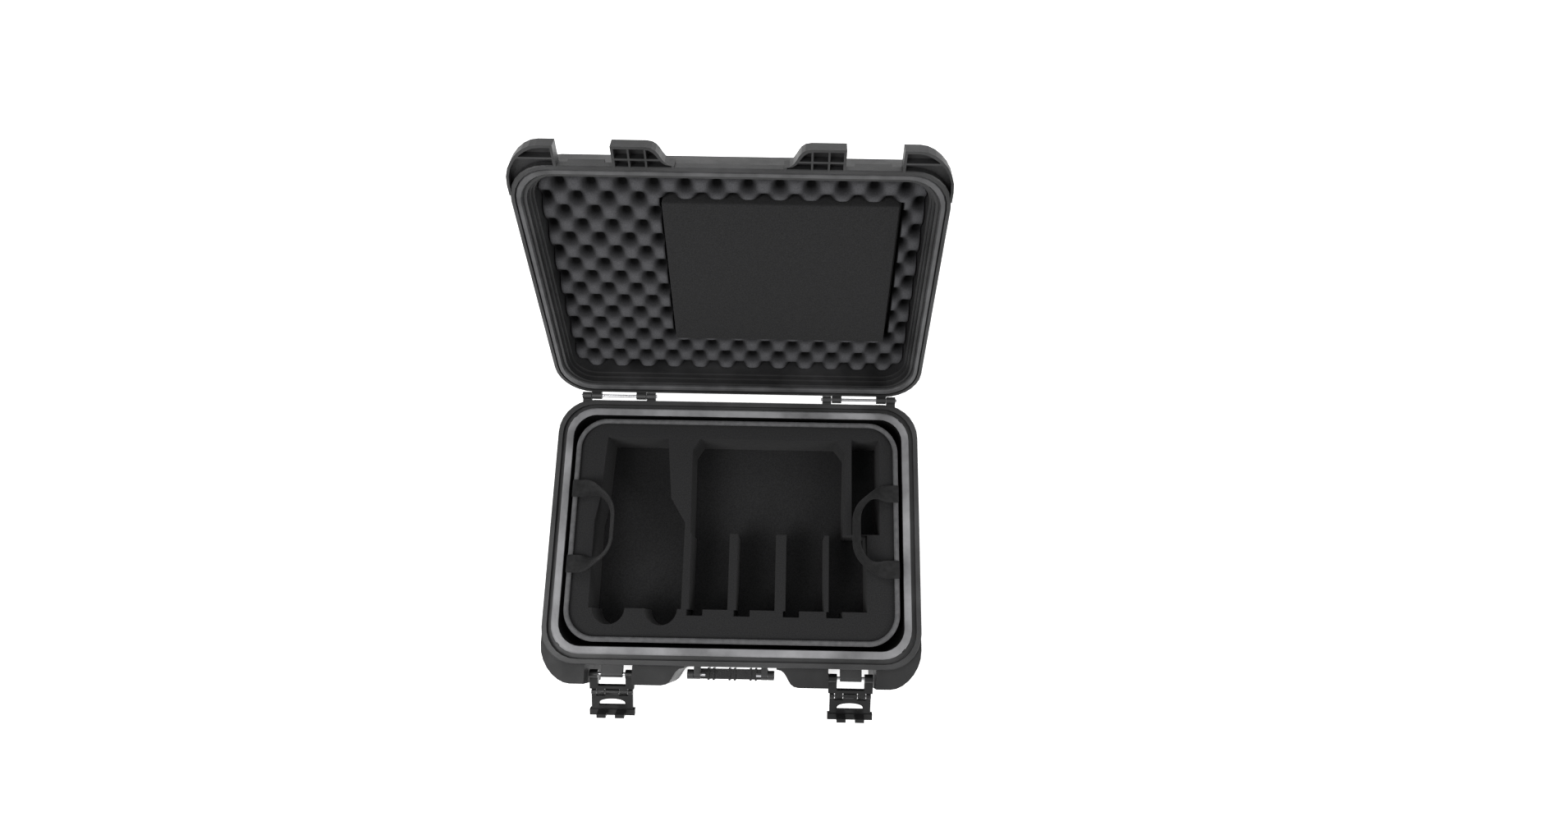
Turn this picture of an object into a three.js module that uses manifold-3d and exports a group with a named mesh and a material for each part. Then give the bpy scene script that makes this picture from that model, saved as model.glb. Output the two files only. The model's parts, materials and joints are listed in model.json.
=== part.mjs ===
// Hard carrying case for a camera drone: base, lid, two over-centre latches, carry handle,
// a cut foam insert on the floor and a fabric-covered tote that seats on top of it.
// Millimetres, +Z up, +Y to the hinge side. The origin is the centre of the flat underside.
// The lid is modelled closed and turned about the hinge axis; the latches likewise.
import * as THREE from 'three';
import { mergeVertices } from 'three/addons/utils/BufferGeometryUtils.js';
import Module from 'manifold-3d';

const wasm = await Module();
wasm.setup();

// ---- driving dimensions -------------------------------------------------------------
const RIM_W = 490; // outer flange, across
const RIM_D = 350; // outer flange, front to back
const RIM_R = 46;
const FLANGE_TOP = 131;
const FLANGE_DROP = 11;
const LIP_TOP = 135; // raised inner lip that the lid closes over
const OVERHANG = 18; // flange past the side walls
const OPEN_W = 444;
const OPEN_D = 304;
const OPEN_R = 30;
const FLOOR = 4;
const GAP = 0.3; // clearance between pieces that touch
const PARTING = FLANGE_TOP + 0.4;
const LID_TOP = 192;
const LID_CEILING = 188;
const LID_OPEN = THREE.MathUtils.degToRad(118);
const HINGE_Y = RIM_D / 2 + 6;
const HINGE_Z = 131.2;
const HINGE_X = 165;
const PIN_R = 2;
const KNUCKLE_R = 5;
const BUMPER_Y = -199; // front face of the bumper blocks and of the lid's lugs
const BUMPER_BOTTOM = 18;
const BUMPER_TOP = 126;
const LATCH_X = 156;
const LATCH_BAY = 61; // gap between bumpers, and between lid lugs
const LATCH_W = 58;
const LATCH_BAR_EXTRA = 0.6; // end bar past the frame, each side
const LATCH_Y = -187;
const LATCH_Z = 98;
const LATCH_OPEN = THREE.MathUtils.degToRad(115);
const LEVER_U = 25; // latch pivot to lever pivot
const LATCH_ARM = 11;
const RIVET_R = 1.6;
const LATCH_PIN_R = 2;
const LATCH_BLOCK_R = 4.5;
const CLAW_U = 49; // latch pivot to the claw's underside
const HANDLE_Y = -185;
const HANDLE_Z = 110;
const HANDLE_W = 112;
const HANDLE_REACH = 42;
const HANDLE_PIN_R = 2;
const HANDLE_BOSS_R = 6;
const LOWER_W = 406;
const LOWER_D = 284;
const SHEET = 5; // foam sheet under the cut foam
const LOWER_THICK = 45;
const TOTE_W = 430;
const TOTE_D = 290;
const TOTE_R = 40;
const TOTE_WALL = 3;
const TOTE_SHELL_TOP = 133;
const TOTE_RIM_TOP = 139.5;
const LOOP_SPAN = 98; // between the middles of a loop's two ends
const LOOP_REACH = 60;
const LOOP_BAND = 24; // webbing width, lying flat at the ends
const LOOP_THICK = 2.6;
const LOOP_TIP = 9; // seen from above, where the webbing stands on edge
const LOOP_TIP_BELOW = 5.5;
const LOOP_TIP_ABOVE = 12;
const LOOP_TURN = 46; // outer radius of the bend
const LOOP_INNER_TURN = 34;
const LOOP_STAND_FROM = 0.7; // angle round the bend where it stands up
const CORNER_STEPS = 7;

const LOWER_FLOOR_Z = FLOOR + GAP;
const LOWER_Z = LOWER_FLOOR_Z + SHEET + GAP;
const LOWER_TOP = LOWER_Z + LOWER_THICK;
const TOTE_Z = LOWER_TOP + 0.5;
const TOTE_SHEET_Z = TOTE_Z + TOTE_WALL + GAP;
const TOTE_FOAM_Z = TOTE_SHEET_Z + 8 + GAP;
const TOTE_FOAM_TOP = TOTE_SHELL_TOP - 0.2;

// ---- finishes -----------------------------------------------------------------------
const finish = (color, roughness, metalness = 0) =>
  new THREE.MeshStandardMaterial({ color, roughness, metalness });
const RESIN = finish(0x3c3c3e, 0.5);
const LATCH_RESIN = finish(0x1c1c1e, 0.4);
const GASKET = finish(0x8a8a8c, 0.35);
const FOAM = finish(0x343435, 0.95);
const EGG_FOAM = finish(0x444446, 0.95);
const FABRIC = finish(0x37373a, 0.85);
const BINDING = finish(0x515154, 0.7);
const WEBBING = finish(0x242426, 0.8);
const STEEL = finish(0xb9babd, 0.3, 1);

// ---- solids -------------------------------------------------------------------------
function toSolid(geometry) {
  const bare = geometry.clone();
  bare.deleteAttribute('normal');
  bare.deleteAttribute('uv');
  const merged = mergeVertices(bare, 1e-4);
  return new wasm.Manifold(
    new wasm.Mesh({
      numProp: 3,
      vertProperties: new Float32Array(merged.attributes.position.array),
      triVerts: new Uint32Array(merged.index.array),
    }),
  );
}

function toGeometry(solid) {
  const mesh = solid.getMesh();
  const geometry = new THREE.BufferGeometry();
  geometry.setAttribute('position', new THREE.BufferAttribute(mesh.vertProperties, 3));
  geometry.setIndex(new THREE.BufferAttribute(mesh.triVerts, 1));
  geometry.computeVertexNormals();
  return geometry;
}

// Ring of points round a rounded rectangle, anticlockwise.
function roundedRing(w, d, r) {
  const ring = [];
  const corners = [
    [w / 2 - r, d / 2 - r],
    [r - w / 2, d / 2 - r],
    [r - w / 2, r - d / 2],
    [w / 2 - r, r - d / 2],
  ];
  corners.forEach(([cx, cy], quarter) => {
    for (let i = 0; i <= CORNER_STEPS; i++) {
      const a = (quarter + i / CORNER_STEPS) * (Math.PI / 2);
      ring.push([cx + r * Math.cos(a), cy + r * Math.sin(a)]);
    }
  });
  return ring;
}

// Closed solid through rounded rectangles [width, depth, corner radius, height], bottom to top.
function loft(sections) {
  const rings = sections.map(([w, d, r]) => roundedRing(w, d, r));
  const n = rings[0].length;
  const points = rings.flatMap((ring, k) => ring.flatMap(([x, y]) => [x, y, sections[k][3]]));
  points.push(0, 0, sections[0][3], 0, 0, sections.at(-1)[3]);
  const low = n * rings.length;
  const high = low + 1;
  const faces = [];
  for (let i = 0; i < n; i++) {
    const j = (i + 1) % n;
    for (let k = 0; k + 1 < rings.length; k++) {
      const [a, b, c, d] = [k * n + i, k * n + j, (k + 1) * n + j, (k + 1) * n + i];
      faces.push(a, b, c, a, c, d);
    }
    faces.push(low, j, i, high, (rings.length - 1) * n + i, (rings.length - 1) * n + j);
  }
  const geometry = new THREE.BufferGeometry();
  geometry.setAttribute('position', new THREE.Float32BufferAttribute(points, 3));
  geometry.setIndex(faces);
  return toSolid(geometry);
}

const slab = (w, d, r, z0, z1) => loft([[w, d, r, z0], [w, d, r, z1]]);
const ring = (outer, inner, z0, z1) =>
  slab(...outer, z0, z1).subtract(slab(...inner, z0 - 1, z1 + 1));

function box(x0, x1, y0, y1, z0, z1) {
  const geometry = new THREE.BoxGeometry(x1 - x0, y1 - y0, z1 - z0);
  return toSolid(geometry.translate((x0 + x1) / 2, (y0 + y1) / 2, (z0 + z1) / 2));
}

function rodX(x0, x1, y, z, r, sides = 20) {
  const geometry = new THREE.CylinderGeometry(r, r, x1 - x0, sides);
  return toSolid(geometry.rotateZ(Math.PI / 2).translate((x0 + x1) / 2, y, z));
}

// Plan outline from straight points, extruded upwards.
function prism(outline, z0, z1) {
  const shape = outline instanceof THREE.Shape ? outline : new THREE.Shape(
    outline.map(([x, y]) => new THREE.Vector2(x, y)),
  );
  const geometry = new THREE.ExtrudeGeometry(shape, {
    depth: z1 - z0, bevelEnabled: false, curveSegments: CORNER_STEPS,
  });
  return toSolid(geometry.translate(0, 0, z0));
}

const mirrorX = (solid) => solid.mirror([1, 0, 0]);
const both = (solid) => solid.add(mirrorX(solid));
const joinAll = (solids) => solids.reduce((a, b) => a.add(b));

// ---- scene graph --------------------------------------------------------------------
const group = new THREE.Group();

function piece(name, solid, material, parent = group) {
  const mesh = new THREE.Mesh(toGeometry(solid), material);
  mesh.name = name;
  parent.add(mesh);
}

// A group turned about an X axis through (y, z), whose children keep the unturned frame.
function turned(y, z, angle, parent = group) {
  const pivot = new THREE.Group();
  pivot.position.set(0, y, z);
  pivot.rotation.x = angle;
  const frame = new THREE.Group();
  frame.position.set(0, -y, -z);
  pivot.add(frame);
  parent.add(pivot);
  return frame;
}

// ---- plan outlines of the front blocks, on the left side ----------------------------
const BAY_OUT = -LATCH_X - LATCH_BAY / 2;
const BAY_IN = -LATCH_X + LATCH_BAY / 2;

const BLOCK_BACK = -151;

function cornerOutline(front, inset = 0) {
  const shape = new THREE.Shape();
  const side = -RIM_W / 2 + inset;
  shape.moveTo(BAY_OUT - inset, BLOCK_BACK);
  shape.lineTo(-214, BLOCK_BACK);
  shape.lineTo(-222, BLOCK_BACK + 14);
  shape.lineTo(side, BLOCK_BACK + 14);
  shape.lineTo(side, -150);
  shape.bezierCurveTo(side, -176, -222 + inset, front + inset, -204 + inset, front + inset);
  shape.lineTo(BAY_OUT - inset, front + inset);
  shape.closePath();
  return shape;
}

function middleOutline(front, inset = 0) {
  const shape = new THREE.Shape();
  shape.moveTo(BAY_IN + inset, BLOCK_BACK);
  shape.lineTo(BAY_IN + inset, front + inset);
  shape.lineTo(-88 - inset, front + inset);
  shape.bezierCurveTo(-70 - inset, front + inset, -76 - inset, -177, -59 - inset, -177);
  shape.lineTo(-59 - inset, BLOCK_BACK);
  shape.closePath();
  return shape;
}

// ---- base shell ---------------------------------------------------------------------
const sideW = RIM_W - 2 * OVERHANG;
const sideD = RIM_D - 2 * OVERHANG;
const flangeLow = FLANGE_TOP - FLANGE_DROP;

// Side walls and flange, grown outward by a margin.
function tubOutside(margin) {
  const m = 2 * margin;
  const body = loft([
    [sideW - 18 + m, sideD - 18 + m, 26, -margin],
    [sideW - 8 + m, sideD - 8 + m, 32, 5],
    [sideW + m, sideD + m, 36, flangeLow + 4],
  ]);
  const flange = loft([
    [RIM_W - 4 + m, RIM_D - 4 + m, RIM_R, flangeLow - margin],
    [RIM_W + m, RIM_D + m, RIM_R, flangeLow + 2],
    [RIM_W + m, RIM_D + m, RIM_R, FLANGE_TOP - 1],
    [RIM_W - 2 + m, RIM_D - 2 + m, RIM_R, FLANGE_TOP + margin],
  ]);
  return body.add(flange);
}

function baseBody() {
  const lip = loft([
    [464, 324, 38, FLANGE_TOP - 8],
    [464, 324, 38, LIP_TOP - 1],
    [461, 321, 37, LIP_TOP],
  ]);
  const groove = ring([477, 337, 42], [464, 324, 38], FLANGE_TOP - 5, FLANGE_TOP + 2);
  return tubOutside(0).subtract(groove).add(lip);
}

const baseCavity = loft([
  [OPEN_W - 8, OPEN_D - 8, OPEN_R - 6, FLOOR],
  [OPEN_W - 6, OPEN_D - 6, OPEN_R - 2, FLOOR + 5],
  [OPEN_W, OPEN_D, OPEN_R, LIP_TOP - 1.5],
  [OPEN_W + 3, OPEN_D + 3, OPEN_R + 1, LIP_TOP + 1],
]);

// A front bumper on the left side, open below and behind, with a crossing rib inside.
function frontBumper(outline) {
  const hollow = prism(outline(BUMPER_Y, 4), BUMPER_BOTTOM - 1, BUMPER_TOP - 5)
    .subtract(box(-260, -50, -182, -178, 0, LIP_TOP));
  const notches = [44, 100].map((z) => box(-260, -60, BUMPER_Y - 1, BUMPER_Y + 2.5, z - 2, z + 2));
  return prism(outline(BUMPER_Y), BUMPER_BOTTOM, BUMPER_TOP)
    .subtract(hollow)
    .subtract(joinAll(notches))
    .subtract(tubOutside(GAP));
}

// Stiffening ribs on the side and back walls.
function wallRibs() {
  const ribs = [];
  for (const y of [-96, -32, 32, 96]) {
    ribs.push(box(-sideW / 2 - 9, -sideW / 2 + 8, y - 4, y + 4, 14, flangeLow + 2));
  }
  for (const x of [-205, -105, -45]) {
    ribs.push(box(x - 4, x + 4, sideD / 2 - 8, sideD / 2 + 9, 14, flangeLow + 2));
  }
  return both(joinAll(ribs));
}

function latchBlock() {
  const x = -LATCH_X;
  return box(x - 14, x + 14, LATCH_Y, -sideD / 2 + 4, LATCH_Z - LATCH_BLOCK_R, LATCH_Z + LATCH_BLOCK_R)
    .add(rodX(x - 14, x + 14, LATCH_Y, LATCH_Z, LATCH_BLOCK_R))
    .subtract(rodX(x - 20, x + 20, LATCH_Y, LATCH_Z, LATCH_PIN_R + GAP));
}

function handleEar() {
  const x0 = -HANDLE_W / 2 + 8.5;
  const ear = box(x0, x0 + 8, HANDLE_Y, -sideD / 2 + 4, HANDLE_Z - 6, HANDLE_Z + 6);
  return ear
    .add(rodX(x0, x0 + 8, HANDLE_Y, HANDLE_Z, HANDLE_BOSS_R))
    .subtract(rodX(x0 - 5, x0 + 20, HANDLE_Y, HANDLE_Z, HANDLE_PIN_R + GAP));
}

function knuckles(inner, outer, z0, z1, y0) {
  const parts = [];
  for (const side of [-1, 1]) {
    const [a, b] = side < 0 ? [-outer, -inner] : [inner, outer];
    const x0 = -HINGE_X + a;
    const x1 = -HINGE_X + b;
    parts.push(box(x0, x1, y0, HINGE_Y, z0, z1));
    parts.push(rodX(x0, x1, HINGE_Y, HINGE_Z, KNUCKLE_R));
  }
  const bore = rodX(-HINGE_X - 60, -HINGE_X + 60, HINGE_Y, HINGE_Z, PIN_R + GAP);
  return both(joinAll(parts).subtract(bore));
}

const baseShell = baseBody()
  .add(wallRibs())
  .add(both(latchBlock()))
  .add(both(handleEar()))
  .add(knuckles(38, 50, HINGE_Z - KNUCKLE_R, HINGE_Z - 0.6, RIM_D / 2 - 3))
  .subtract(baseCavity);
piece('base_shell', baseShell, RESIN);

for (const [place, outline] of [['corner', cornerOutline], ['middle', middleOutline]]) {
  const bumper = frontBumper(outline);
  piece(`base_bumper_${place}_left`, bumper, RESIN);
  piece(`base_bumper_${place}_right`, mirrorX(bumper), RESIN);
}

for (const [name, side] of [['left', -1], ['right', 1]]) {
  const x = side * HINGE_X;
  piece(`hinge_pin_${name}`, rodX(x - 52, x + 52, HINGE_Y, HINGE_Z, PIN_R), STEEL);
  const lx = side * LATCH_X;
  const half = LATCH_W / 2;
  piece(`latch_pin_${name}`, rodX(lx - half, lx + half, LATCH_Y, LATCH_Z, LATCH_PIN_R), STEEL);
  const h0 = side * (HANDLE_W / 2 - 11.5);
  piece(`handle_pin_${name}`, rodX(h0 - 11.5, h0 + 11.5, HANDLE_Y, HANDLE_Z, HANDLE_PIN_R), STEEL);
}

// ---- lid ----------------------------------------------------------------------------
const lidFrame = turned(HINGE_Y, HINGE_Z, -LID_OPEN);
const LUG_TOP = 146;
const LUG_ROOF = 142;
const RIB = 2.2;
const LUG_SHELF = -185; // rib across the lugs, parallel to the rim

function lidBody() {
  const outer = loft([
    [RIM_W - 2, RIM_D - 2, RIM_R, PARTING],
    [RIM_W, RIM_D, RIM_R, PARTING + 1],
    [RIM_W, RIM_D, RIM_R, PARTING + 9],
    [468, 328, 40, PARTING + 12],
    [458, 318, 36, LID_TOP - 9],
    [442, 302, 30, LID_TOP],
  ]);
  const panel = ring([380, 250, 24], [364, 234, 18], LID_TOP - 1.5, LID_TOP + 1);
  return outer.subtract(panel);
}

function lidCavity() {
  const steps = loft([
    [466, 326, 39, PARTING - 2],
    [466, 326, 39, LIP_TOP + 2],
    [458, 318, 35, LIP_TOP + 2.01],
    [458, 318, 35, LIP_TOP + 9],
    [452, 312, 32, LIP_TOP + 9.01],
    [452, 312, 32, LIP_TOP + 15],
    [447, 307, 30, LIP_TOP + 15.01],
    [444, 304, 28, LID_CEILING],
  ]);
  return steps.add(ring([481, 341, 43], [464, 324, 38], PARTING - 2, 137.6));
}

// Open-backed lug: an outline with a roof, hollow below and divided by thin ribs.
function ribbedLug(outline, inner, ribs) {
  const hollow = prism(inner, PARTING - 1, LUG_ROOF).subtract(joinAll(ribs));
  return prism(outline, PARTING, LUG_TOP).subtract(hollow);
}

function cornerLug() {
  const shelf = box(-260, BAY_OUT, LUG_SHELF, LUG_SHELF + RIB, PARTING - 2, LUG_ROOF + 1);
  return ribbedLug(cornerOutline(BUMPER_Y), cornerOutline(BUMPER_Y, 3), [shelf]);
}

function middleLug() {
  const ribs = [box(BAY_IN, -50, LUG_SHELF, LUG_SHELF + RIB, PARTING - 2, LUG_ROOF + 1)];
  for (const x of [-107, -89]) {
    ribs.push(box(x - RIB / 2, x + RIB / 2, -205, -160, PARTING - 2, LUG_ROOF + 1));
  }
  return ribbedLug(middleOutline(BUMPER_Y), middleOutline(BUMPER_Y, 3), ribs);
}

const CATCH_TOP = LATCH_Z + CLAW_U - 0.5;
const catchLedge = box(
  -LATCH_X - 20, -LATCH_X + 20, -RIM_D / 2 + GAP, BLOCK_BACK, CATCH_TOP - 9, CATCH_TOP,
);
const lidRibs = both(joinAll([
  ...[-105, -45].map((x) => box(x - 4, x + 4, 150, RIM_D / 2 - 4, PARTING + 8, LID_TOP - 14)),
  ...[-96, -32, 32, 96].map((y) =>
    box(-RIM_W / 2 + 4, -220, y - 4, y + 4, PARTING + 8, LID_TOP - 14)),
]));

const lidShell = lidBody()
  .add(both(cornerLug().add(middleLug())))
  .add(both(catchLedge))
  .add(lidRibs)
  .add(knuckles(24, 37, HINGE_Z + 0.6, HINGE_Z + KNUCKLE_R, RIM_D / 2 - 4))
  .subtract(lidCavity());
piece('lid_shell', lidShell, RESIN, lidFrame);

piece('lid_gasket', loft([[477, 337, 41, PARTING + 0.6], [480.2, 340.2, 42.6, PARTING + 2.5],
  [480.2, 340.2, 42.6, 137.2]]).subtract(loft([[471, 331, 41, PARTING - 1],
  [466.8, 326.8, 39.3, PARTING + 2.5], [466.8, 326.8, 39.3, 140]])), GASKET, lidFrame);

// Pad on the lid's foam: x from left to right, y in the closed lid.
const PAD = { x0: -82, x1: 192, y0: -114, y1: 96 };
const EGG_PEAK = 160;
const EGG_TOP = LID_CEILING - GAP;
const padHole = box(PAD.x0 - 3, PAD.x1 + 6, PAD.y0 - 3, PAD.y1 + 3, EGG_PEAK - 2, EGG_TOP + 2);
piece('lid_egg_crate_foam',
  loft([[443, 303, 27, EGG_PEAK], [442.5, 302.5, 27, EGG_TOP]]).subtract(padHole),
  EGG_FOAM, lidFrame);
piece('lid_flat_pad', box(PAD.x0, PAD.x1, PAD.y0, PAD.y1, EGG_PEAK - 3, EGG_TOP), FOAM, lidFrame);

// ---- latches ------------------------------------------------------------------------
// Modelled closed: upright in front of the seam. u runs up from the latch pivot.
function latchFrameSolid(x) {
  const h = LATCH_W / 2;
  const up = (u) => LATCH_Z + u;
  const thick = [LATCH_Y - 3.4, LATCH_Y + 3];
  const arms = [-1, 1].map((side) => {
    const [a, b] = side < 0 ? [x - h, x - h + LATCH_ARM] : [x + h - LATCH_ARM, x + h];
    return box(a, b, ...thick, up(0), up(LEVER_U - 5))
      .add(rodX(a, b, LATCH_Y, LATCH_Z, 5.5));
  });
  const bridge = box(x - h, x + h, ...thick, up(LEVER_U - 9), up(LEVER_U - 5));
  const clevis = [-15, 15].map((dx) =>
    box(x + dx - 5, x + dx + 5, ...thick, up(LEVER_U - 7), up(LEVER_U))
      .add(rodX(x + dx - 5, x + dx + 5, LATCH_Y, up(LEVER_U), 4)));
  return joinAll([...arms, bridge, ...clevis])
    .subtract(rodX(x - 40, x + 40, LATCH_Y, LATCH_Z, LATCH_PIN_R + GAP))
    .subtract(rodX(x - 40, x + 40, LATCH_Y, up(LEVER_U), RIVET_R + GAP));
}

function latchLeverSolid(x) {
  const h = LATCH_W / 2;
  const plateHalf = h - 2;
  const up = (u) => LATCH_Z + u;
  const window = new THREE.Shape();
  window.moveTo(-17, 9.5);
  window.lineTo(-17, 6);
  window.bezierCurveTo(-17, -2, 17, -2, 17, 6);
  window.lineTo(17, 9.5);
  window.closePath();
  const opening = toSolid(
    new THREE.ExtrudeGeometry(window, { depth: 20, bevelEnabled: false, curveSegments: 10 })
      .rotateX(Math.PI / 2),
  ).translate([x, LATCH_Y + 10, up(LEVER_U + 9.5)]);
  const plate = box(
    x - plateHalf, x + plateHalf, LATCH_Y - 3.4, LATCH_Y + 1.6, up(LEVER_U + 5.5), up(CLAW_U),
  );
  const barrels = [
    [x - 9, x + 9], [x - plateHalf, x - 21], [x + 21, x + plateHalf],
  ].map(([a, b]) =>
    rodX(a, b, LATCH_Y, up(LEVER_U), 3.6)
      .add(box(a, b, LATCH_Y - 3.4, LATCH_Y + 1.6, up(LEVER_U), up(LEVER_U + 7))));
  const barHalf = h + LATCH_BAR_EXTRA;
  const bar = box(
    x - barHalf, x + barHalf, LATCH_Y - 4.2, LATCH_Y + 3, up(CLAW_U), up(CLAW_U + 8),
  );
  const claws = [-1, 1].map((side) =>
    box(x + side * 12 - 6, x + side * 12 + 6, LATCH_Y, LATCH_Y + 16, up(CLAW_U), up(CLAW_U + 5)));
  return joinAll([plate, ...barrels, bar, ...claws])
    .subtract(opening)
    .subtract(rodX(x - 40, x + 40, LATCH_Y, up(LEVER_U), RIVET_R + GAP));
}

const latchFrame = turned(LATCH_Y, LATCH_Z, LATCH_OPEN);
for (const [name, side] of [['left', -1], ['right', 1]]) {
  const x = side * LATCH_X;
  piece(`latch_frame_${name}`, latchFrameSolid(x), LATCH_RESIN, latchFrame);
  piece(`latch_lever_${name}`, latchLeverSolid(x), LATCH_RESIN, latchFrame);
  const half = LATCH_W / 2 - 4;
  const rivet = rodX(x - half, x + half, LATCH_Y, LATCH_Z + LEVER_U, RIVET_R);
  piece(`latch_rivet_${name}`, rivet, STEEL, latchFrame);
}

// ---- carry handle, hanging in the recess between the middle bumpers -------------------
const gripZ = HANDLE_Z - HANDLE_REACH;
const arms = [-1, 1].map((side) => {
  const [a, b] = side < 0 ? [-HANDLE_W / 2, -HANDLE_W / 2 + 8] : [HANDLE_W / 2 - 8, HANDLE_W / 2];
  return box(a, b, HANDLE_Y - 5, HANDLE_Y + 4, gripZ - 6, HANDLE_Z)
    .add(rodX(a, b, HANDLE_Y, HANDLE_Z, HANDLE_BOSS_R));
});
const bar = box(-HANDLE_W / 2, HANDLE_W / 2, HANDLE_Y - 4, HANDLE_Y + 3, gripZ - 6, gripZ + 6);
piece('carry_handle', joinAll([...arms, bar])
  .subtract(rodX(-80, 80, HANDLE_Y, HANDLE_Z, HANDLE_PIN_R + GAP)), RESIN);

// Soft grip sleeve round the bar, with three pairs of ribs.
const sleeve = (() => {
  const half = HANDLE_W / 2 - 8.3;
  const parts = [box(-half, half, HANDLE_Y - 7, HANDLE_Y + 6, gripZ - 9, gripZ + 9)];
  for (const x of [-28, 0, 28]) {
    for (const dx of [-3.5, 3.5]) {
      const [a, b] = [x + dx - 1.2, x + dx + 1.2];
      parts.push(box(a, b, HANDLE_Y - 8.5, HANDLE_Y + 7.5, gripZ - 10.5, gripZ + 10.5));
    }
  }
  const core = box(-60, 60, HANDLE_Y - 4.3, HANDLE_Y + 3.3, gripZ - 6.3, gripZ + 6.3);
  return joinAll(parts).subtract(core);
})();
piece('handle_grip', sleeve, LATCH_RESIN);

// ---- lower foam insert: a floor sheet and a cut layer with nine pockets ----------------
const FULL = LOWER_Z - 1;
const rect = (x0, x1, y0, y1, z) => box(x0, x1, y0, y1, z, LOWER_TOP + 1);
const notch = (x, y, r, z) => toSolid(
  new THREE.CylinderGeometry(r, r, LOWER_TOP + 1 - z, 20).rotateX(Math.PI / 2)
    .translate(x, y, (z + LOWER_TOP + 1) / 2),
);
const lowerPockets = [
  rect(-190, -22, 57, 114, FULL), // three-bay charger
  notch(-108, 116, 13, FULL).add(notch(-108, 55, 13, FULL)),
  rect(-9, 86, 27, 114, FULL), // charger box
  notch(38, 27, 16, FULL),
  prism([[-188, 5], [-188, 35], [-157, 42], [-60, 32], [-56, 8], [-127, -2]], FULL, LOWER_TOP + 1),
  prism([[-188, -47], [-188, -17], [-79, -9], [-58, -17], [-57, -42], [-71, -50]], FULL, LOWER_TOP + 1),
  rect(-45, 92, -67, 13, FULL), // cables
  rect(-188, -93, -128, -57, FULL), // mains lead
  rect(-94, -74, -122, -104, FULL), // channel between lead and adapter
  rect(-75, 3, -124, -82, FULL), // adapter
  rect(15, 192, -126, -103, FULL), // long slot
  rect(103, 192, -88, 114, LOWER_TOP - 24), // shallow tray
];
piece('lower_foam_floor', slab(LOWER_W, LOWER_D, 16, LOWER_FLOOR_Z, LOWER_FLOOR_Z + SHEET), FOAM);
piece('lower_foam', slab(LOWER_W, LOWER_D, 16, LOWER_Z, LOWER_TOP)
  .subtract(joinAll(lowerPockets)), FOAM);

// ---- tote ---------------------------------------------------------------------------
const taper = (z) => (20 * (z - TOTE_SHELL_TOP)) / (TOTE_SHELL_TOP - TOTE_Z - 8);
const toteSection = (z, inset) => {
  const t = taper(z) - 2 * inset;
  return [TOTE_W + t, TOTE_D + t, TOTE_R + t / 2, z];
};
const toteShell = loft([
  [TOTE_W - 38, TOTE_D - 38, TOTE_R - 16, TOTE_Z],
  [TOTE_W - 26, TOTE_D - 26, TOTE_R - 12, TOTE_Z + 2.5],
  toteSection(TOTE_Z + 8, 0),
  toteSection(TOTE_SHELL_TOP, 0),
]).subtract(loft([
  toteSection(TOTE_Z + TOTE_WALL, 5),
  toteSection(TOTE_Z + 10, TOTE_WALL),
  toteSection(TOTE_SHELL_TOP + 1, TOTE_WALL),
]));
piece('tote_shell', toteShell, FABRIC);
piece('tote_rim_binding', loft([
  [TOTE_W - 1, TOTE_D - 1, TOTE_R, TOTE_SHELL_TOP + GAP],
  [TOTE_W + 4, TOTE_D + 4, TOTE_R + 2, TOTE_SHELL_TOP + 2.4],
  [TOTE_W + 4, TOTE_D + 4, TOTE_R + 2, TOTE_RIM_TOP - 2],
  [TOTE_W - 1, TOTE_D - 1, TOTE_R, TOTE_RIM_TOP],
]).subtract(slab(TOTE_W - 10, TOTE_D - 10, TOTE_R - 5, TOTE_SHELL_TOP, TOTE_RIM_TOP + 1)), BINDING);

piece('tote_foam_floor', loft([
  toteSection(TOTE_SHEET_Z, 5.8), toteSection(TOTE_SHEET_Z + 8, TOTE_WALL + 1.2),
]), FOAM);

const CUT = TOTE_FOAM_Z - 1;
const ABOVE = TOTE_FOAM_TOP + 1;
const well = (x0, x1, y0, y1, z = CUT) => box(x0, x1, y0, y1, z, ABOVE);
const lobe = (x, y, r) => toSolid(
  new THREE.CylinderGeometry(r, r, ABOVE - CUT, 24).rotateX(Math.PI / 2)
    .translate(x, y, (CUT + ABOVE) / 2),
);
const toteWells = [
  prism([[-176, 122], [-94, 122], [-86, 40], [-66, 8], [-66, -104], [-186, -104],
    [-186, 8], [-180, 40]], CUT, ABOVE), // folded drone
  lobe(-160, -104, 21).add(lobe(-92, -104, 21)),
  prism([[-50, 122], [-60, 106], [-58, -6], [144, -6], [146, 106], [134, 122]], CUT, ABOVE),
  ...[-56, 5, 69, 125].map((x) => well(x, x + 50, -104, -5)
    .add(well(x - 3, x + 18, -112, -104))), // battery wells, open to the controller well
  well(155, 192, -4, 124), // side slot
];
piece('tote_foam', loft([toteSection(TOTE_FOAM_Z, TOTE_WALL + 0.8),
  toteSection(TOTE_FOAM_TOP, TOTE_WALL + 0.8)])
  .subtract(joinAll(toteWells)), FOAM);

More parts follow.
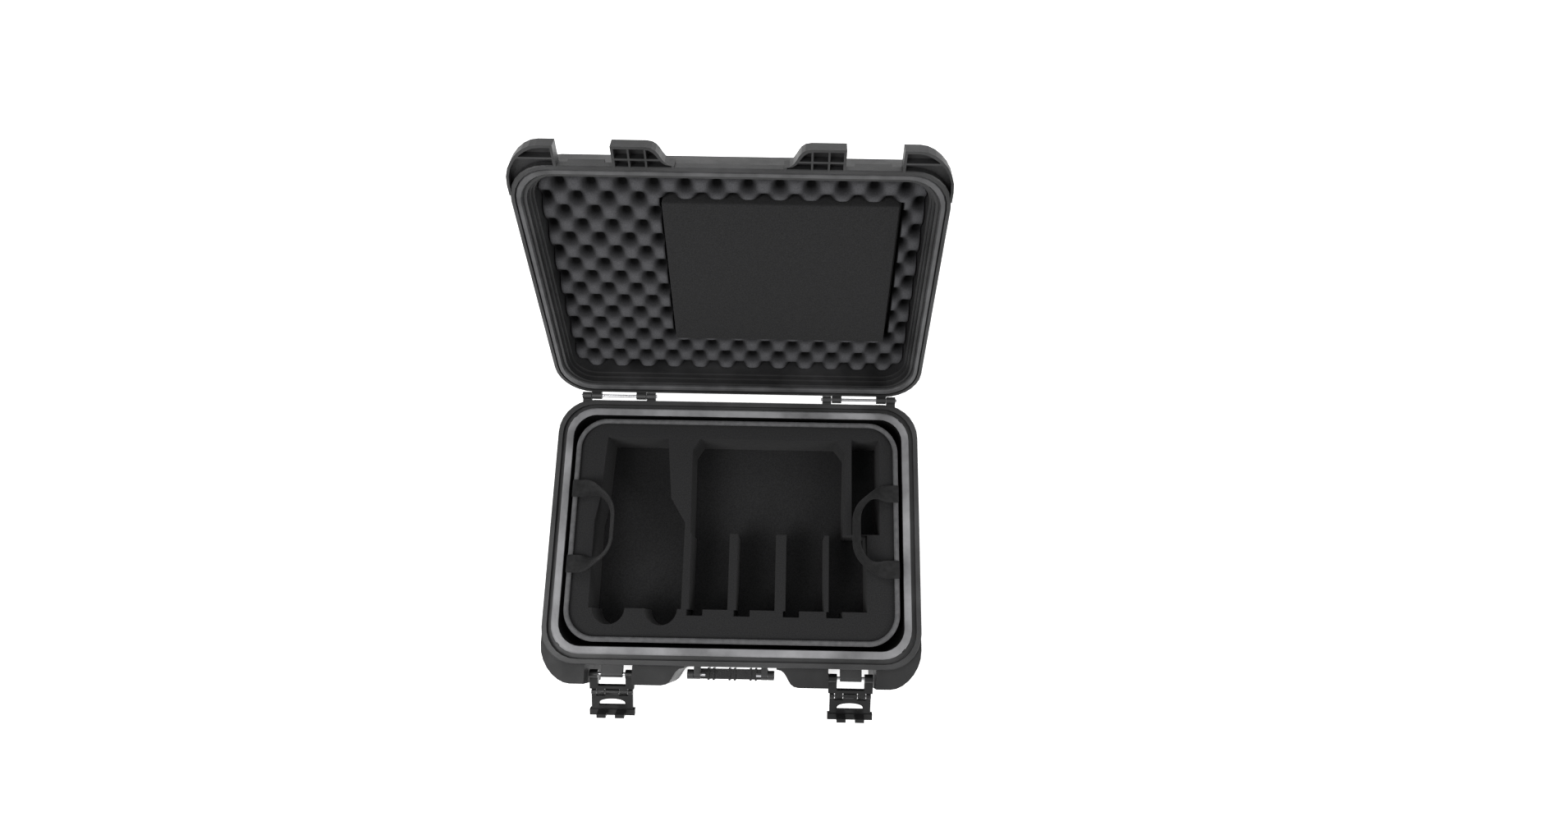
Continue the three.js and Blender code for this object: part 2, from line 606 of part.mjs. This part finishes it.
// Webbing loops, flopped inward over the rim: flat at the ends and on edge round the tip.
const LOOP_Z = TOTE_RIM_TOP + 0.7;
function loopSolid(side) {
  const out = LOOP_SPAN / 2 + LOOP_BAND / 2;
  const inn = LOOP_SPAN / 2 - LOOP_BAND / 2;
  const root = side * (TOTE_W / 2 + 1.5);
  const innerReach = LOOP_REACH - LOOP_TIP;
  const u = (x, y) => new THREE.Vector2(root - side * x, y);
  const bend = (half, reach, r, from = 0) => {
    const shape = [];
    for (let i = 0; i <= 6; i++) {
      const a = from + (i / 6) * (Math.PI / 2 - from);
      shape.push(u(reach - r + r * Math.sin(a), half - r + r * Math.cos(a)));
    }
    return [...shape, ...shape.map((p) => new THREE.Vector2(p.x, -p.y)).reverse()];
  };
  const raised = (outline, z0, z1) => {
    if (THREE.ShapeUtils.area(outline) < 0) outline.reverse();
    return prism(new THREE.Shape(outline), z0, z1);
  };
  const flat = raised([
    u(0, out), ...bend(out, LOOP_REACH, LOOP_TURN), u(0, -out),
    u(0, -inn), ...bend(inn, innerReach, LOOP_INNER_TURN).reverse(), u(0, inn),
  ], LOOP_Z, LOOP_Z + LOOP_THICK);
  const tip = raised([
    ...bend(out, LOOP_REACH, LOOP_TURN, LOOP_STAND_FROM),
    ...bend(out - LOOP_TIP, innerReach, LOOP_TURN - LOOP_TIP, LOOP_STAND_FROM).reverse(),
  ], LOOP_Z - LOOP_TIP_BELOW, LOOP_Z + LOOP_TIP_ABOVE);
  return flat.add(tip);
}
for (const [name, side] of [['left', -1], ['right', 1]]) {
  piece(`tote_loop_${name}`, loopSolid(side), WEBBING);
  for (const [end, y] of [['front', -LOOP_SPAN / 2], ['back', LOOP_SPAN / 2]]) {
    const x0 = TOTE_W / 2 + GAP;
    const [a, b] = side < 0 ? [-x0 - 2, -x0] : [x0, x0 + 2];
    const tab = box(
      a, b, y - LOOP_BAND / 2, y + LOOP_BAND / 2, TOTE_SHELL_TOP - 32, TOTE_SHELL_TOP - 1,
    );
    piece(`loop_tab_${name}_${end}`, tab, WEBBING);
  }
}

export default group;
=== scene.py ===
"""Drone carrying case: materials, foam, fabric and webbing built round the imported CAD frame."""
import json
import math

import bmesh
import bpy
from mathutils import Matrix, Vector, noise


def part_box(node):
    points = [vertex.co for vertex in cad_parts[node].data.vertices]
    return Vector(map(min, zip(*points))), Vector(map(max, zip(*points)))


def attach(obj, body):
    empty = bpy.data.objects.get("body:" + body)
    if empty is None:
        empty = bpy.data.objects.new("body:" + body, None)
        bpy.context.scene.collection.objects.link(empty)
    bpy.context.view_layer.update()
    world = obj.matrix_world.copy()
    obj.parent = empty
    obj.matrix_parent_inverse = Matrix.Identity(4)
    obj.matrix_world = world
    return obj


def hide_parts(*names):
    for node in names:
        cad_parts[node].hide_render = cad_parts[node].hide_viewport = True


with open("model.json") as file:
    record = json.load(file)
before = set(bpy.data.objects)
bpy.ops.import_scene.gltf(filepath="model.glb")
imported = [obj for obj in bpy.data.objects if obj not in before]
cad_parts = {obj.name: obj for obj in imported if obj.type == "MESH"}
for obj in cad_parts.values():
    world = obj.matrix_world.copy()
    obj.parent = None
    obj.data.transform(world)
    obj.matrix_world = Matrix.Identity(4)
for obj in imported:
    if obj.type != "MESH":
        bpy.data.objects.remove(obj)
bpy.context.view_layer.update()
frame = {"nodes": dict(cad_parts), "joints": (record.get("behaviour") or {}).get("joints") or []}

scene = bpy.context.scene
MM = 0.001

# ---- camera -------------------------------------------------------------------------
IMAGE_WIDTH = 1910
FOCAL_PX = 1041
CAMERA_AT = Vector((68, -137, 1266)) * MM
CAMERA_PITCH = math.radians(75.13)
CAMERA_YAW = math.radians(-1.07)


def make_camera():
    data = bpy.data.cameras.new("camera")
    data.sensor_width = 36
    data.lens = FOCAL_PX * data.sensor_width / IMAGE_WIDTH
    data.clip_start = 0.02
    camera = bpy.data.objects.new("camera", data)
    scene.collection.objects.link(camera)
    flat = math.cos(CAMERA_PITCH)
    look = Vector((math.sin(CAMERA_YAW) * flat, math.cos(CAMERA_YAW) * flat, -math.sin(CAMERA_PITCH)))
    camera.location = CAMERA_AT
    camera.rotation_euler = look.to_track_quat("-Z", "Y").to_euler()
    scene.camera = camera


# ---- light and floor ----------------------------------------------------------------
def area_light(name, at, target, size, power):
    data = bpy.data.lights.new(name, "AREA")
    data.shape = "SQUARE"
    data.size = size
    data.energy = power
    light = bpy.data.objects.new(name, data)
    scene.collection.objects.link(light)
    light.location = at
    aim = Vector(target) - Vector(at)
    light.rotation_euler = aim.to_track_quat("-Z", "Y").to_euler()


def make_stage():
    world = bpy.data.worlds.new("studio")
    world.use_nodes = True
    world.node_tree.nodes["Background"].inputs["Color"].default_value = (1, 1, 1, 1)
    world.node_tree.nodes["Background"].inputs["Strength"].default_value = 0.5
    scene.world = world
    area_light("key", (-1.0, -0.7, 1.7), (0, 0.1, 0.1), 1.1, 26)
    area_light("fill", (1.3, -0.5, 1.4), (0, 0.1, 0.1), 1.2, 12)
    area_light("rim", (0.2, 1.6, 1.6), (0, 0.1, 0.2), 1.0, 16)
    bpy.ops.mesh.primitive_plane_add(size=12)
    floor = bpy.context.object
    floor.name = "floor"
    material = bpy.data.materials.new("floor")
    material.use_nodes = True
    shader = material.node_tree.nodes["Principled BSDF"]
    shader.inputs["Base Color"].default_value = (0.93, 0.93, 0.93, 1)
    shader.inputs["Roughness"].default_value = 0.9
    shader.inputs["Emission Color"].default_value = (1, 1, 1, 1)
    shader.inputs["Emission Strength"].default_value = 0.6
    floor.data.materials.append(material)
    scene.view_settings.view_transform = "Standard"


# ---- the lid's frame -----------------------------------------------------------------
# The lid's own frame is closed; this turns it to where the lid rests.
lid_joint = next(j for j in frame["joints"] if j["name"] == "lid_hinge")
HINGE = Vector(lid_joint["pos_m"])
LID_OPEN = -math.radians(lid_joint["range_deg"][0])
LID = Matrix.Translation(HINGE) @ Matrix.Rotation(-LID_OPEN, 4, "X") @ Matrix.Translation(-HINGE)

EGG_PEAK = 160.2 * MM
EGG_DEPTH = 17 * MM
EGG_PITCH_X = 36 * MM
EGG_PITCH_Y = 38 * MM
EGG_PIT_POWER = 2.1  # above 1, the peaks are broader than the pits
EGG_RAGGED = 0.5 * MM
EGG_STEP = 2.6 * MM
EGG_HALF_W, EGG_HALF_D = 226 * MM, 156 * MM  # past the foam's outline, which cuts it
EGG_BACK = 200 * MM


# ---- materials ----------------------------------------------------------------------
class Surface:
    """A Principled material with object-space textures for its colour, roughness and bump."""

    def __init__(self, name, roughness, **fixed):
        self.material = bpy.data.materials.new(name)
        self.material.use_nodes = True
        self.nodes = self.material.node_tree.nodes
        self.links = self.material.node_tree.links
        self.shader = self.nodes["Principled BSDF"]
        self.shader.inputs["Roughness"].default_value = roughness
        for key, value in fixed.items():
            self.shader.inputs[key.replace("_", " ")].default_value = value
        self.place = self.nodes.new("ShaderNodeTexCoord").outputs["Object"]
        self.last_bump = None

    def noise(self, scale, detail=3, stretch=(1, 1, 1)):
        place = self.place
        if stretch != (1, 1, 1):
            mapping = self.nodes.new("ShaderNodeMapping")
            mapping.inputs["Scale"].default_value = stretch
            self.links.new(place, mapping.inputs["Vector"])
            place = mapping.outputs["Vector"]
        node = self.nodes.new("ShaderNodeTexNoise")
        node.inputs["Scale"].default_value = scale
        node.inputs["Detail"].default_value = detail
        self.links.new(place, node.inputs["Vector"])
        return node.outputs["Fac"]

    def cells(self, scale):
        node = self.nodes.new("ShaderNodeTexVoronoi")
        node.inputs["Scale"].default_value = scale
        self.links.new(self.place, node.inputs["Vector"])
        return node.outputs["Distance"]

    def waves(self, scale, direction):
        node = self.nodes.new("ShaderNodeTexWave")
        node.bands_direction = direction
        node.inputs["Scale"].default_value = scale
        self.links.new(self.place, node.inputs["Vector"])
        return node.outputs["Fac"]

    def math(self, operation, *values):
        node = self.nodes.new("ShaderNodeMath")
        node.operation = operation
        for socket, value in zip(node.inputs, values):
            if isinstance(value, (int, float)):
                socket.default_value = value
            else:
                self.links.new(value, socket)
        return node.outputs["Value"]

    def product(self, *values):
        result = values[0]
        for value in values[1:]:
            result = self.math("MULTIPLY", result, value)
        return result

    def axes(self):
        node = self.nodes.new("ShaderNodeSeparateXYZ")
        self.links.new(self.place, node.inputs["Vector"])
        return node.outputs

    def along(self, direction):
        node = self.nodes.new("ShaderNodeVectorMath")
        node.operation = "DOT_PRODUCT"
        self.links.new(self.place, node.inputs[0])
        node.inputs[1].default_value = direction
        return node.outputs["Value"]

    def grade(self, value, low, high):
        """0 at low and 1 at high, with a straight line between."""
        return self.math("DIVIDE", self.math("SUBTRACT", value, low), high - low)

    def blend(self, mask, a, b):
        node = self.nodes.new("ShaderNodeMix")
        node.data_type = "RGBA"
        self.links.new(mask, node.inputs["Factor"])
        for socket, value in ((node.inputs[6], a), (node.inputs[7], b)):
            if isinstance(value, float):
                socket.default_value = (value, value, value, 1)
            else:
                self.links.new(value, socket)
        return node.outputs[2]

    def ramp(self, fac, stops):
        node = self.nodes.new("ShaderNodeValToRGB")
        node.color_ramp.elements[0].position = stops[0][0]
        node.color_ramp.elements[0].color = stops[0][1]
        node.color_ramp.elements[1].position = stops[-1][0]
        node.color_ramp.elements[1].color = stops[-1][1]
        for position, color in stops[1:-1]:
            node.color_ramp.elements.new(position).color = color
        self.links.new(fac, node.inputs["Fac"])
        return node.outputs["Color"]

    def colour(self, fac, *stops):
        self.links.new(self.ramp(fac, greys(*stops)), self.shader.inputs["Base Color"])

    def rough(self, fac, *stops):
        grey = [(at, (level, level, level, 1)) for at, level in stops]
        self.links.new(self.ramp(fac, grey), self.shader.inputs["Roughness"])

    def bump(self, fac, depth, strength=1.0):
        node = self.nodes.new("ShaderNodeBump")
        node.inputs["Distance"].default_value = depth
        node.inputs["Strength"].default_value = strength
        self.links.new(fac, node.inputs["Height"])
        if self.last_bump:
            self.links.new(self.last_bump, node.inputs["Normal"])
        self.last_bump = node.outputs["Normal"]
        self.links.new(self.last_bump, self.shader.inputs["Normal"])


def greys(*stops):
    return [(at, (level, level, level * 1.03, 1)) for at, level in stops]


# Bounds of the base's raised band and of the walls and floor within it: the band gets a painted
# highlight, the walls and floor painted shade.
LIP_BAND_Z = 132.5 * MM
LIP_BACK_Y = 171 * MM
WALL_X, WALL_Y, WALL_TOP = 222.4 * MM, 152.4 * MM, 134.4 * MM


def lip_highlight_and_inner_shade_masks(surface):
    """Masks for the base's raised rim band, where a highlight is painted, and for the walls and floor
    within it, where shade is painted.
    """
    axis = surface.axes()
    lip_band_highlight_and_gloss = surface.product(
        surface.math("GREATER_THAN", axis["Z"], LIP_BAND_Z),
        surface.math("LESS_THAN", axis["Y"], LIP_BACK_Y),
    )
    inner_wall_shade = surface.product(
        surface.math("LESS_THAN", surface.math("ABSOLUTE", axis["X"]), WALL_X),
        surface.math("LESS_THAN", surface.math("ABSOLUTE", axis["Y"]), WALL_Y),
        surface.math("LESS_THAN", axis["Z"], WALL_TOP),
    )
    return lip_band_highlight_and_gloss, inner_wall_shade


def resin(name, low, high, roughness=(0.36, 0.55), gloss=0.5, lip_highlight_and_inner_shade=False):
    surface = Surface(name, 0.45, Specular_IOR_Level=gloss)
    middle = (low + high) / 2
    cloud = surface.noise(14, 6)
    colour = surface.ramp(cloud, greys((0.32, low), (0.55, middle), (0.72, high)))
    rough = surface.ramp(surface.noise(30, 4), greys((0.3, roughness[0]), (0.7, roughness[1])))
    # Painted highlight: a lighter, streaky colour on the raised band round the opening. Painted shade: a
    # near-black colour on the walls and floor within it. The band is also made glossier, which is its
    # own finish.
    if lip_highlight_and_inner_shade:
        lip_band_highlight_and_gloss, inner_wall_shade = lip_highlight_and_inner_shade_masks(surface)
        colour = surface.blend(lip_band_highlight_and_gloss, colour, surface.ramp(cloud, greys((0.35, 0.09), (0.65, 0.26))))
        colour = surface.blend(inner_wall_shade, colour, 0.004)
        rough = surface.blend(lip_band_highlight_and_gloss, rough, 0.26)
    surface.links.new(colour, surface.shader.inputs["Base Color"])
    surface.links.new(rough, surface.shader.inputs["Roughness"])
    surface.bump(surface.noise(900, 2), 0.00025, 0.6)
    surface.bump(surface.noise(55, 3), 0.0006, 0.35)
    return surface.material


def seal():
    surface = Surface("seal", 0.34)
    surface.colour(surface.noise(40, 4), (0.3, 0.040), (0.7, 0.078))
    surface.bump(surface.noise(300, 2), 0.0002, 0.5)
    return surface.material


def foam(name, low, high, cell=1500):
    surface = Surface(name, 0.95, Specular_IOR_Level=0.12, Sheen_Weight=0.04, Sheen_Roughness=0.6)
    surface.colour(surface.noise(700, 4), (0.3, low), (0.7, high))
    surface.bump(surface.cells(cell), 0.0004, 0.5)
    surface.bump(surface.noise(60, 3), 0.0006, 0.25)
    return surface.material


def egg_foam_with_pit_shade():
    """Open-cell foam with painted shade in its pits: near black deep in each pit, lightest on the peaks.
    """
    surface = Surface("egg_crate_foam", 0.95, Specular_IOR_Level=0.12)
    outward = LID.to_3x3() @ Vector((0, 0, 1))
    at_peak = outward.dot(LID @ Vector((0, 0, EGG_PEAK)))
    depth = surface.grade(surface.along(outward), at_peak, at_peak + EGG_DEPTH)
    # Painted shade: the colour runs from lighter on the peaks to near black at the bottom of the pits.
    level = surface.ramp(depth, greys((0.04, 0.078), (0.3, 0.036), (0.75, 0.004)))
    speck = surface.ramp(surface.noise(700, 4), greys((0.3, 0.72), (0.7, 1.0)))
    node = surface.nodes.new("ShaderNodeMix")
    node.data_type, node.blend_type = "RGBA", "MULTIPLY"
    node.inputs["Factor"].default_value = 1.0
    surface.links.new(level, node.inputs[6])
    surface.links.new(speck, node.inputs[7])
    surface.links.new(node.outputs[2], surface.shader.inputs["Base Color"])
    surface.bump(surface.cells(900), 0.0004, 0.5)
    return surface.material


def fabric(name, low, high, pitch=420, roughness=0.85):
    surface = Surface(name, roughness, Specular_IOR_Level=0.2, Sheen_Weight=0.06, Sheen_Roughness=0.5)
    weave = surface.product(surface.waves(pitch, "X"), surface.waves(pitch, "DIAGONAL"))
    surface.colour(surface.noise(160, 5), (0.3, low), (0.7, high))
    surface.bump(weave, 0.0004, 0.5)
    surface.bump(surface.noise(25, 3), 0.001, 0.2)
    return surface.material


def steel():
    surface = Surface("steel", 0.28, Metallic=1.0)
    surface.colour(surface.noise(200, 3, (1, 12, 12)), (0.3, 0.5), (0.7, 0.68))
    surface.rough(surface.noise(350, 2, (1, 10, 10)), (0.3, 0.2), (0.7, 0.38))
    return surface.material


RESIN = resin("resin", 0.008, 0.034)
# Base resin with a painted highlight on its raised band and painted shade on the walls and floor within
# it.
BASE_RESIN_PAINTED_LIGHT = resin("base_resin_painted_light", 0.008, 0.034, lip_highlight_and_inner_shade=True)
BUMPER = resin("bumper_resin", 0.005, 0.021, (0.42, 0.6), gloss=0.32)
LATCH = resin("latch_resin", 0.005, 0.014, (0.26, 0.38))
SEAL = seal()
EGG = egg_foam_with_pit_shade()
FOAM = foam("foam", 0.012, 0.022)
FABRIC = fabric("tote_fabric", 0.022, 0.034)
BINDING = fabric("binding", 0.070, 0.105, 600, 0.6)
WEBBING = fabric("webbing", 0.007, 0.016, 700, 0.75)
STEEL = steel()


def paint(obj, material):
    obj.data.materials.clear()
    obj.data.materials.append(material)


def round_edges(obj, width, segments, angle=30):
    bevel = obj.modifiers.new("edges", "BEVEL")
    bevel.width = width
    bevel.segments = segments
    bevel.limit_method = "ANGLE"
    bevel.angle_limit = math.radians(angle)
    return bevel


# ---- hard CAD nodes: bevelled edges and a finish --------------------------------------
def soften(obj, width, segments=2):
    bevel = round_edges(obj, width, segments, 35)
    bevel.harden_normals = True
    bevel.use_clamp_overlap = True


HARD = {
    "base_shell": (BASE_RESIN_PAINTED_LIGHT, 0.9 * MM), "lid_shell": (RESIN, 0.8 * MM), "lid_gasket": (SEAL, 0.6 * MM),
    "carry_handle": (RESIN, 1.2 * MM), "handle_grip": (LATCH, 0.5 * MM),
    "latch_frame_left": (LATCH, 0.5 * MM), "latch_frame_right": (LATCH, 0.5 * MM),
    "latch_lever_left": (LATCH, 0.5 * MM), "latch_lever_right": (LATCH, 0.5 * MM),
}


def dress_hard_nodes():
    for name, node in frame["nodes"].items():
        if name.startswith("base_bumper"):
            paint(node, BUMPER)
            soften(node, 1.4 * MM, 3)
        elif name in HARD:
            material, width = HARD[name]
            paint(node, material)
            soften(node, width)
        elif "pin" in name or "rivet" in name:
            paint(node, STEEL)
            soften(node, 0.3 * MM)


# ---- soft pieces --------------------------------------------------------------------
def as_object(mesh, name):
    """A scene object from a bmesh, which is freed."""
    data = bpy.data.meshes.new(name)
    mesh.to_mesh(data)
    mesh.free()
    obj = bpy.data.objects.new(name, data)
    scene.collection.objects.link(obj)
    return obj


def stand_for(obj, node_name, body):
    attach(obj, body)
    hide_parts(node_name)


def copy_of(node_name, name):
    """A new object with a node's own outline, its flat faces merged."""
    source = frame["nodes"][node_name]
    mesh = bmesh.new()
    mesh.from_mesh(source.data)
    mesh.transform(source.matrix_world)
    bmesh.ops.remove_doubles(mesh, verts=mesh.verts, dist=0.01 * MM)
    bmesh.ops.dissolve_limit(
        mesh, angle_limit=math.radians(1.5), verts=mesh.verts, edges=mesh.edges,
    )
    return as_object(mesh, name)


def apply_modifiers(obj):
    graph = bpy.context.evaluated_depsgraph_get()
    baked = bpy.data.meshes.new_from_object(obj.evaluated_get(graph))
    obj.modifiers.clear()
    obj.data = baked


def smooth(obj, angle=40):
    obj.data.shade_smooth()
    obj.data.set_sharp_from_angle(angle=math.radians(angle))


def foam_block(node_name, body, round_edge):
    """Cut foam with softened edges."""
    obj = copy_of(node_name, node_name + "_block")
    round_edges(obj, round_edge, 3)
    apply_modifiers(obj)
    paint(obj, FOAM)
    smooth(obj)
    stand_for(obj, node_name, body)


def egg_crate():
    """Staggered peaks and pits, cut to the outline of the foam's CAD block."""
    nx, ny = int(2 * EGG_HALF_W / EGG_STEP), int(2 * EGG_HALF_D / EGG_STEP)
    mesh = bmesh.new()
    low, high = [], []
    for j in range(ny + 1):
        for i in range(nx + 1):
            x = -EGG_HALF_W + 2 * EGG_HALF_W * i / nx
            y = -EGG_HALF_D + 2 * EGG_HALF_D * j / ny
            wave = math.cos(2 * math.pi * x / EGG_PITCH_X) * math.cos(2 * math.pi * y / EGG_PITCH_Y)
            pit = ((1 + wave) / 2) ** EGG_PIT_POWER
            ragged = EGG_RAGGED * (1 + noise.noise(Vector((x, y, 0)) * 60))
            low.append(mesh.verts.new((x, y, EGG_PEAK + EGG_DEPTH * pit + ragged)))
            on_border = i in (0, nx) or j in (0, ny)
            high.append(mesh.verts.new((x, y, EGG_BACK)) if on_border else None)
    row = nx + 1
    for j in range(ny):
        for i in range(nx):
            a, b, c, d = (j * row + i, j * row + i + 1, (j + 1) * row + i + 1, (j + 1) * row + i)
            mesh.faces.new((low[d], low[c], low[b], low[a]))
    border = [j * row for j in range(ny)] + [ny * row + i for i in range(nx)]
    border += [j * row + nx for j in range(ny, 0, -1)] + [i for i in range(nx, 0, -1)]
    for k, a in enumerate(border):
        b = border[(k + 1) % len(border)]
        mesh.faces.new((low[a], low[b], high[b], high[a]))
    mesh.faces.new([high[a] for a in border])
    bmesh.ops.recalc_face_normals(mesh, faces=mesh.faces)
    mesh.transform(LID)
    obj = as_object(mesh, "egg_crate")
    cutter = copy_of("lid_egg_crate_foam", "egg_outline")
    cut = obj.modifiers.new("outline", "BOOLEAN")
    cut.operation = "INTERSECT"
    cut.object = cutter
    cut.solver = "EXACT"
    apply_modifiers(obj)
    bpy.data.objects.remove(cutter)
    paint(obj, EGG)
    smooth(obj, 50)
    stand_for(obj, "lid_egg_crate_foam", "lid")


# ---- tote ---------------------------------------------------------------------------
def rounded_path(w, d, r, count):
    """Evenly spaced (point, outward normal) pairs round a rounded rectangle."""
    straight_x, straight_y, arc = w - 2 * r, d - 2 * r, math.pi * r / 2
    total = 2 * (straight_x + straight_y) + 4 * arc
    legs = [(straight_y, (w / 2 - r, -(d / 2 - r)), 0), (straight_x, (w / 2 - r, d / 2 - r), 1),
            (straight_y, (-(w / 2 - r), d / 2 - r), 2), (straight_x, (-(w / 2 - r), -(d / 2 - r)), 3)]
    out = []
    for k in range(count):
        s = total * k / count
        for length, (cx, cy), quarter in legs:
            turn = quarter * math.pi / 2
            normal = Vector((math.cos(turn), math.sin(turn)))
            along = Vector((-normal.y, normal.x))
            if s <= length:
                out.append((Vector((cx, cy)) + along * s + normal * r, normal))
                break
            s -= length
            if s <= arc:
                a = turn + s / r
                normal = Vector((math.cos(a), math.sin(a)))
                out.append((Vector((cx, cy)) + along * length + normal * r, normal))
                break
            s -= arc
    return out


PIPING_INSET = 3.6 * MM  # half the binding's width
PIPING_CORNER = 38 * MM
PIPING_TRIM = 0.3 * MM
PIPING_RIB = 0.22 * MM
PIPING_RINGS = 1100
PIPING_SIDES = 12


def tote_piping():
    """Rolled binding round the tote's rim, with a fine rib across it."""
    low, high = (Vector(v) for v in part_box("tote_rim_binding"))
    w, d = high.x - low.x, high.y - low.y
    radius = (high.z - low.z) / 2
    path = rounded_path(w - 2 * PIPING_INSET, d - 2 * PIPING_INSET, PIPING_CORNER, PIPING_RINGS)
    mesh = bmesh.new()
    rings = []
    for k, (at, normal) in enumerate(path):
        rib = PIPING_RIB * (1 if k % 2 else -1)
        ring = []
        for m in range(PIPING_SIDES):
            a = 2 * math.pi * m / PIPING_SIDES
            out = (PIPING_INSET - PIPING_TRIM + rib) * math.cos(a)
            up = (radius - PIPING_TRIM + rib) * math.sin(a)
            p = at + normal * out
            ring.append(mesh.verts.new((p.x, p.y, (low.z + high.z) / 2 + up)))
        rings.append(ring)
    for k, a in enumerate(rings):
        b = rings[(k + 1) % PIPING_RINGS]
        for m in range(PIPING_SIDES):
            n = (m + 1) % PIPING_SIDES
            mesh.faces.new((a[m], b[m], b[n], a[n]))
    bmesh.ops.recalc_face_normals(mesh, faces=mesh.faces)
    obj = as_object(mesh, "tote_piping")
    paint(obj, BINDING)
    obj.data.shade_smooth()
    stand_for(obj, "tote_rim_binding", "tote")


def tote_shell():
    """Fabric over a moulded shell, with rounded edges."""
    obj = copy_of("tote_shell", "tote_cover")
    round_edges(obj, 1.0 * MM, 3, 20)
    apply_modifiers(obj)
    paint(obj, FABRIC)
    smooth(obj, 50)
    stand_for(obj, "tote_shell", "tote")


STRAP_SIDES = 16


def strap(name, centre, frames, width, thick):
    """A flat strap through points, with a (side, up) pair at each, rounded at its edges."""
    mesh = bmesh.new()
    profile = []
    for k in range(STRAP_SIDES):
        a = 2 * math.pi * k / STRAP_SIDES
        c, s = math.cos(a), math.sin(a)
        profile.append((
            width / 2 * math.copysign(abs(c) ** 0.35, c), thick / 2 * math.copysign(abs(s) ** 0.8, s),
        ))
    rings = [[mesh.verts.new(p + side * u + up * v) for u, v in profile]
             for p, (side, up) in zip(centre, frames)]
    for a, b in zip(rings, rings[1:]):
        for m in range(STRAP_SIDES):
            n = (m + 1) % STRAP_SIDES
            mesh.faces.new((a[m], b[m], b[n], a[n]))
    mesh.faces.new(rings[0])
    mesh.faces.new(rings[-1])
    bmesh.ops.recalc_face_normals(mesh, faces=mesh.faces)
    obj = as_object(mesh, name)
    paint(obj, WEBBING)
    smooth(obj, 60)
    return obj


LOOP_WIDTH = 23 * MM
LOOP_THICK = 2.0 * MM
LOOP_BEND = 36 * MM
LOOP_TILT = math.radians(68)
LOOP_TIP_INSET = 4 * MM
LOOP_TIP_LIFT = 2.5 * MM
LOOP_TURN_FROM, LOOP_TURN_TO = 0.15, 0.75  # shares of the reach over which it turns up


def webbing_loop(side_name, side):
    """A hand loop flopped over the rim: flat at its ends, turning up on edge round its tip."""
    low, high = (Vector(v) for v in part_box("tote_loop_" + side_name))
    root = low.x if side < 0 else high.x
    half = (high.y - low.y) / 2 - LOOP_WIDTH / 2
    reach = (high.x - low.x) - LOOP_TIP_INSET
    straight = reach - LOOP_BEND
    path = [Vector((straight * k / 8, half)) for k in range(8)]
    for k in range(17):
        turn = k / 16 * math.pi / 2
        path.append(Vector((
            straight + LOOP_BEND * math.sin(turn), half - LOOP_BEND + LOOP_BEND * math.cos(turn),
        )))
    path += [Vector((reach, (half - LOOP_BEND) * (1 - k / 4))) for k in range(1, 5)]
    path += [Vector((p.x, -p.y)) for p in reversed(path[:-1])]
    hinge = next(j for j in frame["joints"] if j["name"] == f"tote_loop_{side_name}_hinge")
    centre, frames = [], []
    for k, p in enumerate(path):
        step = path[min(k + 1, len(path) - 1)] - path[max(k - 1, 0)]
        along = Vector((-side * step.x, step.y, 0)).normalized()
        flat = along.cross(Vector((0, 0, 1)))
        stand = (p.x / reach - LOOP_TURN_FROM) / (LOOP_TURN_TO - LOOP_TURN_FROM)
        stand = min(max(stand, 0), 1)
        stand = stand * stand * (3 - 2 * stand)
        tilt = Matrix.Rotation(LOOP_TILT * stand, 3, along)
        height = hinge["pos_m"][2] + LOOP_TIP_LIFT * stand
        centre.append(Vector((root - side * p.x, p.y, height)))
        frames.append((tilt @ flat, tilt @ Vector((0, 0, 1))))
    obj = strap("webbing_loop_" + side_name, centre, frames, LOOP_WIDTH, LOOP_THICK)
    stand_for(obj, "tote_loop_" + side_name, "tote_loop_" + side_name)


def sewn_tab(node_name):
    """Webbing that lies flat on the tote's wall and holds a loop's end."""
    obj = copy_of(node_name, node_name + "_webbing")
    bevel = obj.modifiers.new("edges", "BEVEL")
    bevel.width = 0.6 * MM
    bevel.segments = 3
    apply_modifiers(obj)
    paint(obj, WEBBING)
    smooth(obj, 50)
    stand_for(obj, node_name, "tote")


make_camera()
make_stage()
dress_hard_nodes()
egg_crate()
foam_block("lid_flat_pad", "lid", 2.2 * MM)
foam_block("lower_foam", "base", 1.2 * MM)
foam_block("lower_foam_floor", "base", 0.6 * MM)
foam_block("tote_foam", "tote", 1.4 * MM)
foam_block("tote_foam_floor", "tote", 0.6 * MM)
tote_shell()
tote_piping()
for side_name, side in (("left", -1), ("right", 1)):
    webbing_loop(side_name, side)
    for end in ("front", "back"):
        sewn_tab(f"loop_tab_{side_name}_{end}")
